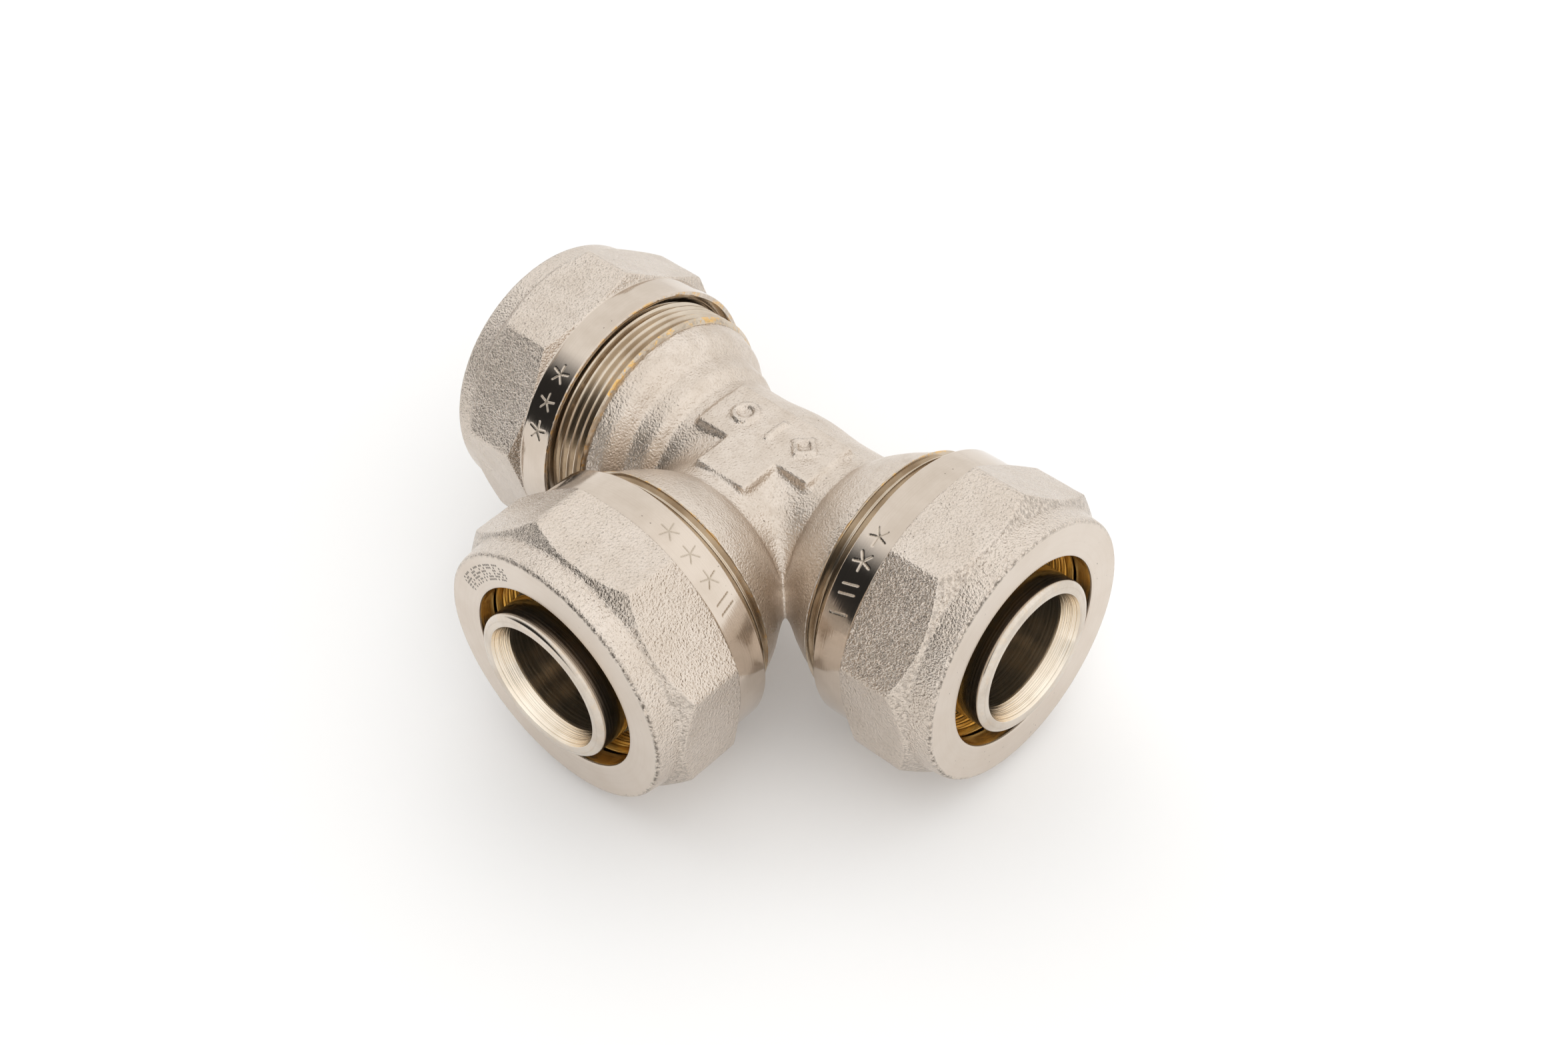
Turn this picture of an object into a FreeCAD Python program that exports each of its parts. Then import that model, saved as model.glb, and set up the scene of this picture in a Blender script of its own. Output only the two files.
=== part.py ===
import FreeCAD, Part
import math, os
import Sketcher
from FreeCAD import Vector, Rotation, Placement

# Screw-compression tee for 32 x 3 multilayer pipe, nickel-plated brass.
# World frame: +X runs along the straight run towards the right-hand port, the branch points to -Y,
# +Z is up.  The origin is at the centre of the underside of the overall box.
# Every port is described in its own port frame: +X points out of the port along its axis and
# x = 0 is the point where the three port axes meet.

doc = FreeCAD.newDocument("compression_tee")
sheet = doc.addObject("Spreadsheet::Sheet", "dims")

SIZES = [
    # ---- position of the axes' meeting point
    ("centre_height", 24.6451), ("centre_shift", 13.8275),
    # ---- forged core of the tee
    ("barrel_radius", 14.4), ("bore_radius", 10.0), ("branch_barrel_radius", 14.35), ("branch_bore_radius", 9.9), ("shoulder_start", 13.0), ("waterway_reach", 18.0),
    ("pad_top", 14.9), ("pad_bottom", 12.2), ("pad_half_run", 11.6), ("pad_half_width", 5.1),
    ("pad_branch_reach", 12.2),
    # ---- shoulder and collar of a port, as stations along the axis and radii there
    ("toe_reach", 14.6), ("toe_radius", 14.7), ("step_reach", 15.5), ("step_radius", 15.7),
    ("shoulder_reach", 16.3), ("shoulder_radius", 16.2), ("flare_reach", 19.3), ("flare_radius", 16.7),
    ("root_reach", 15.0), ("root_radius", 14.6), ("swell_reach", 17.0), ("swell_radius", 16.1),
    ("bulge_reach", 20.0), ("bulge_radius", 18.1), ("crown_reach", 22.0), ("crown_radius", 19.35),
    ("flank_reach", 20.6), ("flank_radius", 18.5), ("collar_reach", 21.6), ("collar_radius", 19.3),
    ("collar_end", 24.2), ("collar_end_radius", 20.2),
    # ---- external thread M42 x 1.5
    ("thread_start", 24.7), ("thread_major", 21.0), ("thread_minor", 20.08), ("thread_pitch", 1.5),
    ("crest_flat", 0.1875), ("first_groove", 25.45), ("thread_turned", 36.1), ("thread_end_radius", 20.1),
    # ---- pipe socket in the port, around the nipple
    ("body_end", 37.0), ("mouth_radius", 19.0), ("mouth_floor", 34.5), ("socket_radius", 16.5),
    ("socket_floor", 31.0),
    # ---- nipple
    ("tip_reach", 52.3), ("nipple_radius", 12.95), ("tip_chamfer", 0.85), ("tip_inner", 10.95),
    ("tip_cone", 3.0), ("seat_inner", 40.8), ("seat_outer", 45.3), ("seat_half", 1.3), ("seat_radius", 11.15),
    # ---- O-rings and insulating washer
    ("oring_centre", 12.2), ("oring_section", 1.0),
    ("washer_inner", 13.05), ("washer_outer", 16.4), ("washer_thick", 1.5),
    # ---- compression nut, stations measured back from its face
    ("face_left", 52.2), ("face_right", 50.4), ("face_branch", 49.8),
    ("turn_left", -33.5), ("turn_right", -14.5), ("turn_branch", 15.0),
    ("nut_length", 22.08), ("nut_corner", 25.15), ("nut_face", 21.8), ("nut_rim", 22.3), ("nut_collar", 22.7), ("nut_band", 23.1), ("nut_blank", 25.4),
    ("nut_edge", 0.5), ("nut_mouth", 16.2), ("mouth_edge", 0.35), ("collar_length", 4.0),
    ("front_cone", 6.76), ("rear_cone", 15.2), ("band_start", 16.4), ("band_edge", 0.23),
    ("rear_inner", 22.3), ("rear_chamfer", 20.03), ("nut_minor", 20.25), ("nut_major", 21.12),
    ("lip_length", 3.0), ("cone_end", 7.05), ("thread_stop", 8.4), ("flank_gap", 0.10),
    # ---- split compression ring, stations measured back from the nut's face
    ("ring_front", 3.8), ("ring_length", 9.5), ("ring_nose", 16.75), ("ring_outer", 19.3),
    ("ring_inner", 16.1), ("ring_valley", 16.5), ("ring_pitch", 1.15), ("ring_slit", 1.4),
]
for row, (alias, value) in enumerate(SIZES, start=1):
    sheet.set("A%d" % row, alias)
    sheet.set("B%d" % row, repr(value))
    sheet.setAlias("B%d" % row, alias)
doc.recompute()


class Size:
    """A length that keeps its value together with the sheet formula it comes from."""

    def __init__(self, value, text):
        self.value, self.text = float(value), text

    def _mix(self, other, sign, flip=False):
        if not isinstance(other, Size):
            other = Size(other, repr(float(other)))
        a, b = (other, self) if flip else (self, other)
        value = {"+": a.value + b.value, "-": a.value - b.value, "*": a.value * b.value,
                 "/": a.value / b.value if b.value else 0.0}[sign]
        return Size(value, "(%s %s %s)" % (a.text, sign, b.text))

    def __add__(self, other): return self._mix(other, "+")
    def __radd__(self, other): return self._mix(other, "+", True)
    def __sub__(self, other): return self._mix(other, "-")
    def __rsub__(self, other): return self._mix(other, "-", True)
    def __mul__(self, other): return self._mix(other, "*")
    def __rmul__(self, other): return self._mix(other, "*", True)
    def __truediv__(self, other): return self._mix(other, "/")


D = {alias: Size(getattr(sheet, alias), "dims." + alias) for alias, value in SIZES}
TAN30 = math.tan(math.radians(30.0))


def origin_plane(body, role):
    return [f for f in body.Origin.OriginFeatures if f.Role == role][0]


def axial_sketch(body, name, points):
    """A closed outline in the plane of the port axis: x is the station, y the radius."""
    sk = body.newObject("Sketcher::SketchObject", name)
    sk.AttachmentSupport = [(origin_plane(body, "XZ_Plane"), "")]
    sk.MapMode = "FlatFace"
    n = len(points)
    for i in range(n):
        a, b = points[i], points[(i + 1) % n]
        sk.addGeometry(Part.LineSegment(Vector(a[0].value, a[1].value, 0), Vector(b[0].value, b[1].value, 0)), False)
    for i in range(n):
        sk.addConstraint(Sketcher.Constraint("Coincident", i, 2, (i + 1) % n, 1))
    for i, (x, y) in enumerate(points):
        for kind, size, tag in (("DistanceX", x, "station"), ("DistanceY", y, "radius")):
            k = sk.addConstraint(Sketcher.Constraint(kind, -1, 1, i, 1, size.value))
            label = "%s_%d" % (tag, i)
            sk.renameConstraint(k, label)
            sk.setExpression("Constraints." + label, size.text)
    return sk


def turned(name, points):
    """A turned piece: the outline revolved about the port axis."""
    body = doc.addObject("PartDesign::Body", name)
    sk = axial_sketch(body, name + "_outline", points)
    rev = body.newObject("PartDesign::Revolution", name + "_turning")
    rev.Profile = (sk, [""])
    rev.ReferenceAxis = (sk, ["H_Axis"])
    rev.Angle = 360.0
    body.Tip = rev
    doc.recompute()
    return body


def threaded(body, name, points, height):
    """Cut a right-hand 60 degree groove of the given section along the port axis."""
    before = body.Shape.Volume
    sk = axial_sketch(body, name + "_section", points)
    cut = body.newObject("PartDesign::SubtractiveHelix", name)
    cut.Profile = (sk, [""])
    cut.ReferenceAxis = (sk, ["H_Axis"])
    cut.Mode = 0
    cut.LeftHanded = False
    cut.setExpression("Pitch", "dims.thread_pitch")
    cut.setExpression("Height", height.text)
    body.Tip = cut
    doc.recompute()
    if not body.Shape.Volume < before - 100.0:
        raise RuntimeError(name + " removed nothing")
    return body


def port_placement(turn):
    return Placement(Vector(0, D["centre_shift"].value, D["centre_height"].value), Rotation(Vector(0, 0, 1), turn))


PORTS = {"left": 180.0, "right": 0.0, "branch": -90.0}

# ------------------------------------------------------------------ tee body
def make_port(side):
    d = D
    # the left shoulder rises in two steps, the other two in one swelling cone
    names = ("toe", "step", "shoulder", "flare", "flank", "collar") if side == "left" else ("root", "swell", "bulge", "crown")
    outline = [(d["shoulder_start"], d["bore_radius"]), (d["shoulder_start"], d["barrel_radius"])]
    outline += [(d[name + "_reach"], d[name + "_radius"]) for name in names]
    outline += [
        (d["collar_end"], d["collar_end_radius"]), (d["thread_start"], d["thread_major"]),
        (d["thread_turned"], d["thread_major"]), (d["body_end"], d["thread_end_radius"]),
        (d["body_end"], d["mouth_radius"]), (d["mouth_floor"], d["socket_radius"]),
        (d["socket_floor"], d["socket_radius"]), (d["socket_floor"], d["nipple_radius"]),
    ]
    for seat in ("seat_inner", "seat_outer"):
        low, high = d[seat] - d["seat_half"], d[seat] + d["seat_half"]
        outline += [(low, d["nipple_radius"]), (low, d["seat_radius"]), (high, d["seat_radius"]), (high, d["nipple_radius"])]
    outline += [
        (d["tip_reach"] - d["tip_chamfer"], d["nipple_radius"]), (d["tip_reach"], d["nipple_radius"] - d["tip_chamfer"]),
        (d["tip_reach"], d["tip_inner"]), (d["tip_reach"] - d["tip_cone"], d["bore_radius"]),
    ]
    port = turned("port_" + side, outline)
    # groove of the external thread, a little deeper than its crest so that it clears the turned surface
    root = 0.5 * d["crest_flat"] + 0.03125
    over = d["thread_major"] + 0.2
    open_half = root + (over - d["thread_minor"]) * TAN30
    c = d["first_groove"]
    threaded(port, "external_thread_" + side,
             [(c - root, d["thread_minor"]), (c + root, d["thread_minor"]), (c + open_half, over), (c - open_half, over)],
             d["body_end"] + 0.9 - d["first_groove"])
    port.Placement = port_placement(PORTS[side])
    return port


ports = [make_port(side) for side in ("left", "right", "branch")]


def cylinder(name, radius, length, base, direction):
    c = doc.addObject("Part::Cylinder", name)
    c.setExpression("Radius", radius.text)
    c.setExpression("Height", length.text)
    c.Placement = Placement(base, Rotation(Vector(0, 0, 1), direction))
    return c


cz, cy = D["centre_height"].value, D["centre_shift"].value
ss = D["shoulder_start"].value
run_barrel = cylinder("run_barrel", D["barrel_radius"], D["shoulder_start"] * 2.0, Vector(-ss, cy, cz), Vector(1, 0, 0))
branch_barrel = cylinder("branch_barrel", D["branch_barrel_radius"], D["shoulder_start"], Vector(0, cy, cz), Vector(0, -1, 0))
run_waterway = cylinder("run_waterway", D["bore_radius"], D["waterway_reach"] * 2.0, Vector(-D["waterway_reach"].value, cy, cz), Vector(1, 0, 0))
branch_waterway = cylinder("branch_waterway", D["branch_bore_radius"], D["waterway_reach"], Vector(0, cy, cz), Vector(0, -1, 0))


def block(name, sizes, base):
    b = doc.addObject("Part::Box", name)
    for axis, size in zip(("Length", "Width", "Height"), sizes):
        b.setExpression(axis, size.text)
    b.Placement = Placement(base, Rotation())
    return b


pad_rise = D["pad_top"] - D["pad_bottom"]
pad_run = block("pad_run", (D["pad_half_run"] * 2.0, D["pad_half_width"] * 2.0, pad_rise),
                Vector(-D["pad_half_run"].value, cy - D["pad_half_width"].value, cz + D["pad_bottom"].value))
pad_branch = block("pad_branch", (D["pad_half_width"] * 2.0, D["pad_branch_reach"], pad_rise),
                   Vector(-D["pad_half_width"].value, cy - D["pad_branch_reach"].value, cz + D["pad_bottom"].value))
core_blank = doc.addObject("Part::MultiFuse", "core_blank")
core_blank.Shapes = [run_barrel, branch_barrel, pad_run, pad_branch]
core_run = doc.addObject("Part::Cut", "core_run")
core_run.Base, core_run.Tool = core_blank, run_waterway
core = doc.addObject("Part::Cut", "core")
core.Base, core.Tool = core_run, branch_waterway

tee = doc.addObject("Part::MultiFuse", "tee_body")
tee.Shapes = [core] + ports
tee.Refine = False
tee.Label = "tee_body"
doc.recompute()

PARTS = [tee]


# ------------------------------------------------------------------ compression nuts
def make_nut(side):
    d = D
    face = d["face_" + side]
    outline = [
        (face, d["nut_mouth"] + d["mouth_edge"]), (face, d["nut_face"]),
        (face - d["nut_edge"], d["nut_rim"]), (face - d["collar_length"], d["nut_collar"]),
        (face - d["front_cone"], d["nut_blank"]), (face - d["rear_cone"], d["nut_blank"]),
        (face - d["band_start"], d["nut_band"]), (face - d["nut_length"] + d["band_edge"], d["nut_band"]),
        (face - d["nut_length"], d["nut_band"] - d["band_edge"]), (face - d["nut_length"], d["rear_inner"]),
        (face - d["rear_chamfer"], d["nut_minor"]), (face - d["cone_end"], d["nut_minor"]),
        (face - d["lip_length"], d["nut_mouth"]), (face - d["mouth_edge"], d["nut_mouth"]),
    ]
    blank = turned("nut_blank_" + side, outline)
    # the groove of the nut follows the ridge of the body's thread, half a pitch from its groove
    c = d["first_groove"] + 0.75
    floor = 0.5 * d["crest_flat"] + d["flank_gap"] - (d["nut_major"] - d["thread_major"]) * TAN30
    under = d["nut_minor"] - 0.25
    open_half = floor + (d["nut_major"] - under) * TAN30
    threaded(blank, "internal_thread_" + side,
             [(c - floor, d["nut_major"]), (c + floor, d["nut_major"]), (c + open_half, under), (c - open_half, under)],
             face - d["thread_stop"] - c)
    prism = doc.addObject("Part::Prism", "octagon_" + side)
    prism.Polygon = 8
    prism.setExpression("Circumradius", "dims.nut_corner")
    prism.setExpression("Height", "dims.nut_length + 0.2")
    turn = Rotation(Vector(1, 0, 0), d["turn_" + side].value).multiply(Rotation(Vector(0, 1, 0), 90))
    prism.Placement = Placement(Vector(face.value - d["nut_length"].value - 0.1, 0, 0), turn)
    nut = doc.addObject("Part::Common", "nut_" + side)
    nut.Base, nut.Tool = blank, prism
    nut.Label = "nut_" + side
    doc.recompute()
    nut.Placement = port_placement(PORTS[side])
    return nut


# ------------------------------------------------------------------ split compression rings
def make_ring(side, slit_turn):
    d = D
    front = d["face_" + side] - d["ring_front"]
    rear = front - d["ring_length"]
    slope = d["ring_outer"] - d["ring_nose"]
    outline = [(front, d["ring_inner"] + 0.25), (front, d["ring_nose"]), (front - slope, d["ring_outer"]),
               (rear + slope, d["ring_outer"]), (rear, d["ring_nose"]), (rear, d["ring_inner"] + 0.25)]
    # gripping ridges: a steep side towards the pipe's end and a long one towards the mouth
    for k in range(8):
        at = rear + 0.35 + d["ring_pitch"] * float(k)
        outline += [(at, d["ring_inner"]), (at + 0.22, d["ring_inner"])]
        if k < 7:
            outline += [(at + 0.40, d["ring_valley"])]
    blank = turned("ring_blank_" + side, outline)
    slit = doc.addObject("Part::Box", "slit_" + side)
    slit.setExpression("Length", "dims.ring_length + 2")
    slit.setExpression("Width", "dims.ring_slit")
    slit.setExpression("Height", "dims.ring_outer + 2")
    turn = Rotation(Vector(1, 0, 0), slit_turn)
    base = turn.multVec(Vector(0, -d["ring_slit"].value / 2, 0))
    slit.Placement = Placement(Vector(rear.value - 1, base.y, base.z), turn)
    ring = doc.addObject("Part::Cut", "split_ring_" + side)
    ring.Base, ring.Tool = blank, slit
    ring.Label = "split_ring_" + side
    doc.recompute()
    ring.Placement = port_placement(PORTS[side])
    return ring


# ------------------------------------------------------------------ O-rings and washers
def make_oring(side, seat):
    ring = doc.addObject("Part::Torus", "o_ring_%s_%s" % (seat, side))
    ring.setExpression("Radius1", "dims.oring_centre")
    ring.setExpression("Radius2", "dims.oring_section")
    along = Placement(Vector(D["seat_" + seat].value, 0, 0), Rotation(Vector(0, 1, 0), 90))
    ring.Placement = port_placement(PORTS[side]).multiply(along)
    ring.Label = "o_ring_%s_%s" % (seat, side)
    return ring


def make_washer(side):
    d = D
    low, high = d["socket_floor"], d["socket_floor"] + d["washer_thick"]
    washer = turned("insulating_washer_" + side,
                    [(low, d["washer_inner"]), (low, d["washer_outer"]), (high, d["washer_outer"]), (high, d["washer_inner"])])
    washer.Label = "insulating_washer_" + side
    washer.Placement = port_placement(PORTS[side])
    return washer


SLITS = {"left": 200.0, "right": 150.0, "branch": -140.0}
for side in ("left", "right", "branch"):
    PARTS.append(make_nut(side))
for side in ("left", "right", "branch"):
    PARTS.append(make_ring(side, SLITS[side]))
for side in ("left", "right", "branch"):
    PARTS += [make_oring(side, "outer"), make_oring(side, "inner"), make_washer(side)]
doc.recompute()

# ------------------------------------------------------------------ check and write
for obj in doc.Objects:
    if "Invalid" in obj.State or "Error" in obj.State:
        raise RuntimeError("%s failed: %s" % (obj.Name, obj.State))
    if obj.TypeId == "Sketcher::SketchObject" and obj.solve() != 0:
        raise RuntimeError(obj.Name + " is not solved")
os.makedirs("parts", exist_ok=True)
for obj in PARTS:
    shape = obj.Shape
    if shape.isNull() or not shape.isValid() or len(shape.Solids) != 1:
        raise RuntimeError("%s: bad shape, %d solids" % (obj.Label, len(shape.Solids)))
    box = shape.optimalBoundingBox(True, False)
    print("%-28s %9.1f mm3  x %7.2f..%7.2f  y %7.2f..%7.2f  z %7.2f..%7.2f" % (
        obj.Label, shape.Volume, box.XMin, box.XMax, box.YMin, box.YMax, box.ZMin, box.ZMax))
    shape.exportStep("parts/%s.step" % obj.Label)
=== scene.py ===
import bpy, bmesh, math
import numpy as np
from mathutils import Matrix, Vector


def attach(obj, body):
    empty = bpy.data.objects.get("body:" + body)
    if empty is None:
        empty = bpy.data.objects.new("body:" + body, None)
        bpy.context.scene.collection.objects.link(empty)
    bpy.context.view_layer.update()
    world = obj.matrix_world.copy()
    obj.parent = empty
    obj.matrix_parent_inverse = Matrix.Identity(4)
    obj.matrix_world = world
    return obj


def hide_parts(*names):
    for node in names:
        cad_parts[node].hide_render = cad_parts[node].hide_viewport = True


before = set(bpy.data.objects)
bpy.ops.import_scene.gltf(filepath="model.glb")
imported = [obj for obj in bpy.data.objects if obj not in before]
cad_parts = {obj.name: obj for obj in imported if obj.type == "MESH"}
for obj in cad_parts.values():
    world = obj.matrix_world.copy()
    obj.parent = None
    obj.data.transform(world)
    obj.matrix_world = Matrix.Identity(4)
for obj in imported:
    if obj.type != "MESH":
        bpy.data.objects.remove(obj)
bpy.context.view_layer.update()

# ---------------------------------------------------------------- sizes (mm) in the port frame
CENTRE_Y, CENTRE_Z = 13.8275, 24.6451
PORT_TURN = {"left": 180.0, "right": 0.0, "branch": -90.0}
FACE = {"left": 52.2, "right": 50.4, "branch": 49.8}
NUT_TURN = {"left": -33.5, "right": -14.5, "branch": 15.0}
PITCH = 1.5
FIRST_GROOVE = 25.45
THREAD_MAJOR, THREAD_MINOR = 21.0, 20.08
NUT_LENGTH = 22.08


def port_matrix(side):
    m = Matrix.Translation((0.0, CENTRE_Y / 1000, CENTRE_Z / 1000)) @ Matrix.Rotation(math.radians(PORT_TURN[side]), 4, "Z")
    return m


# ---------------------------------------------------------------- repeatable noise
def _hash(ix, iy, iz, seed):
    n = (ix * 374761393 + iy * 668265263 + iz * 2147483647 + seed * 1274126177) & 0xFFFFFFFF
    n = ((n ^ (n >> 13)) * 1274126177) & 0xFFFFFFFF
    n = n ^ (n >> 16)
    return (n & 0xFFFFFF) / float(0xFFFFFF) * 2.0 - 1.0


def noise3(x, y, z, seed=0):
    """Smooth value noise in -1..1."""
    fx, fy, fz = np.floor(x), np.floor(y), np.floor(z)
    ix, iy, iz = fx.astype(np.int64), fy.astype(np.int64), fz.astype(np.int64)
    tx, ty, tz = x - fx, y - fy, z - fz
    tx, ty, tz = (t * t * t * (t * (t * 6 - 15) + 10) for t in (tx, ty, tz))
    out = 0.0
    for dx in (0, 1):
        for dy in (0, 1):
            for dz in (0, 1):
                w = (tx if dx else 1 - tx) * (ty if dy else 1 - ty) * (tz if dz else 1 - tz)
                out = out + w * _hash(ix + dx, iy + dy, iz + dz, seed)
    return out


def fbm(x, y, z, size, seed=0, octaves=3):
    out, amp, s = 0.0, 1.0, 1.0 / size
    for k in range(octaves):
        out = out + amp * noise3(x * s + 17.3 * k, y * s - 5.1 * k, z * s + 9.7 * k, seed + k)
        amp *= 0.5
        s *= 2.03
    return out


# ---------------------------------------------------------------- mesh helpers
def make_mesh(name, verts_mm, quads, mats, mat_index=None, masks=None, sharp=35.0, matrix=None, merge=True):
    me = bpy.data.meshes.new(name)
    v = np.asarray(verts_mm, dtype=np.float64) / 1000.0
    q = np.asarray(quads, dtype=np.int64)
    k = q.shape[1]
    me.vertices.add(len(v))
    me.vertices.foreach_set("co", v.astype(np.float32).ravel())
    me.loops.add(q.size)
    me.loops.foreach_set("vertex_index", q.astype(np.int32).ravel())
    me.polygons.add(len(q))
    me.polygons.foreach_set("loop_start", (np.arange(len(q)) * k).astype(np.int32))
    if mat_index is not None:
        me.polygons.foreach_set("material_index", np.asarray(mat_index, dtype=np.int32))
    if masks is not None:
        att = me.color_attributes.new("mask", "FLOAT_COLOR", "POINT")
        col = np.ones((len(v), 4), np.float32)
        col[:, : masks.shape[1]] = masks
        att.data.foreach_set("color", col.ravel())
    me.update(calc_edges=True)
    for m in mats:
        me.materials.append(m)
    if merge:
        bm = bmesh.new()
        bm.from_mesh(me)
        bmesh.ops.remove_doubles(bm, verts=bm.verts, dist=2e-7)
        bmesh.ops.dissolve_degenerate(bm, edges=bm.edges, dist=1e-7)
        bm.to_mesh(me)
        bm.free()
    me.validate()
    me.polygons.foreach_set("use_smooth", np.ones(len(me.polygons), dtype=bool))
    if sharp:
        me.set_sharp_from_angle(angle=math.radians(sharp))
    ob = bpy.data.objects.new(name, me)
    bpy.context.scene.collection.objects.link(ob)
    if matrix is not None:
        ob.matrix_world = matrix
    bpy.context.view_layer.update()
    return ob


def lathe(name, U, R, phis, row_mats, mats, masks=None, side=None, sharp=35.0, closed=True):
    """U, R: rows x columns of stations and radii; phi is measured from +Z towards -Y about +X."""
    rows, cols = U.shape
    X = U
    Y = -R * np.sin(phis)[None, :]
    Z = R * np.cos(phis)[None, :]
    verts = np.stack([X, Y, Z], -1).reshape(-1, 3)
    i = np.arange(rows if closed else rows - 1)
    j = np.arange(cols - 1)
    I, J = np.meshgrid(i, j, indexing="ij")
    I2 = (I + 1) % rows
    quads = np.stack([I * cols + J, I2 * cols + J, I2 * cols + J + 1, I * cols + J + 1], -1).reshape(-1, 4)
    mi = np.repeat(np.asarray(row_mats)[: len(i)], cols - 1)
    mk = None if masks is None else masks.reshape(-1, masks.shape[-1])
    return make_mesh(name, verts, quads, mats, mi, mk, sharp, port_matrix(side))


# ---------------------------------------------------------------- materials
def material(name):
    m = bpy.data.materials.new(name)
    m.use_nodes = True
    nt = m.node_tree
    nt.nodes.clear()
    out = nt.nodes.new("ShaderNodeOutputMaterial")
    bsdf = nt.nodes.new("ShaderNodeBsdfPrincipled")
    nt.links.new(bsdf.outputs[0], out.inputs[0])
    return m, nt, bsdf


class N:
    """Short hand for building node trees."""

    def __init__(self, nt):
        self.nt = nt

    def node(self, kind, **props):
        n = self.nt.nodes.new(kind)
        for k, v in props.items():
            setattr(n, k, v)
        return n

    def link(self, a, b):
        self.nt.links.new(a, b)

    def put(self, socket, value):
        if hasattr(value, "is_output"):
            self.link(value, socket)
        else:
            socket.default_value = value

    def math(self, op, a, b=0.0, c=0.0, clamp=False):
        n = self.node("ShaderNodeMath", operation=op, use_clamp=clamp)
        self.put(n.inputs[0], a)
        self.put(n.inputs[1], b)
        if len(n.inputs) > 2:
            self.put(n.inputs[2], c)
        return n.outputs[0]

    def mix(self, fac, a, b):
        n = self.node("ShaderNodeMix", data_type="RGBA")
        self.put(n.inputs[0], fac)
        self.put(n.inputs[6], a)
        self.put(n.inputs[7], b)
        return n.outputs[2]

    def mixf(self, fac, a, b):
        n = self.node("ShaderNodeMix", data_type="FLOAT")
        self.put(n.inputs[0], fac)
        self.put(n.inputs[2], a)
        self.put(n.inputs[3], b)
        return n.outputs[0]

    def remap(self, v, a, b, c=0.0, d=1.0, smooth=True):
        n = self.node("ShaderNodeMapRange", interpolation_type="SMOOTHSTEP" if smooth else "LINEAR")
        self.put(n.inputs[0], v)
        for k, x in zip((1, 2, 3, 4), (a, b, c, d)):
            n.inputs[k].default_value = x
        return n.outputs[0]

    def noise(self, vec, scale, detail=2.0, rough=0.5, dims="3D"):
        n = self.node("ShaderNodeTexNoise", noise_dimensions=dims)
        if dims == "1D":
            self.put(n.inputs["W"], vec)
        else:
            self.put(n.inputs["Vector"], vec)
        n.inputs["Scale"].default_value = scale
        n.inputs["Detail"].default_value = detail
        n.inputs["Roughness"].default_value = rough
        return n.outputs["Fac"]

    def voronoi(self, vec, scale, feature="F1"):
        n = self.node("ShaderNodeTexVoronoi", feature=feature)
        self.put(n.inputs["Vector"], vec)
        n.inputs["Scale"].default_value = scale
        return n.outputs["Distance"]

    def bump(self, height, distance, strength=1.0, normal=None):
        n = self.node("ShaderNodeBump")
        self.put(n.inputs["Height"], height)
        n.inputs["Distance"].default_value = distance
        n.inputs["Strength"].default_value = strength
        if normal is not None:
            self.link(normal, n.inputs["Normal"])
        return n.outputs[0]


NICKEL = (0.665, 0.583, 0.503, 1.0)
NICKEL_DEEP = (0.47, 0.387, 0.305, 1.0)
NICKEL_PALE = (0.735, 0.657, 0.582, 1.0)
GOLD = (0.80, 0.50, 0.18, 1.0)
PIT = (0.055, 0.042, 0.03, 1.0)


def coords(n):
    tc = n.node("ShaderNodeTexCoord").outputs["Object"]
    sep = n.node("ShaderNodeSeparateXYZ")
    n.link(tc, sep.inputs[0])
    x, y, z = sep.outputs
    rad = n.math("SQRT", n.math("ADD", n.math("MULTIPLY", y, y), n.math("MULTIPLY", z, z)))
    return tc, x, y, z, rad


def mask(n):
    a = n.node("ShaderNodeAttribute", attribute_name="mask")
    s = n.node("ShaderNodeSeparateColor")
    n.link(a.outputs["Color"], s.inputs[0])
    return s.outputs


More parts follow.
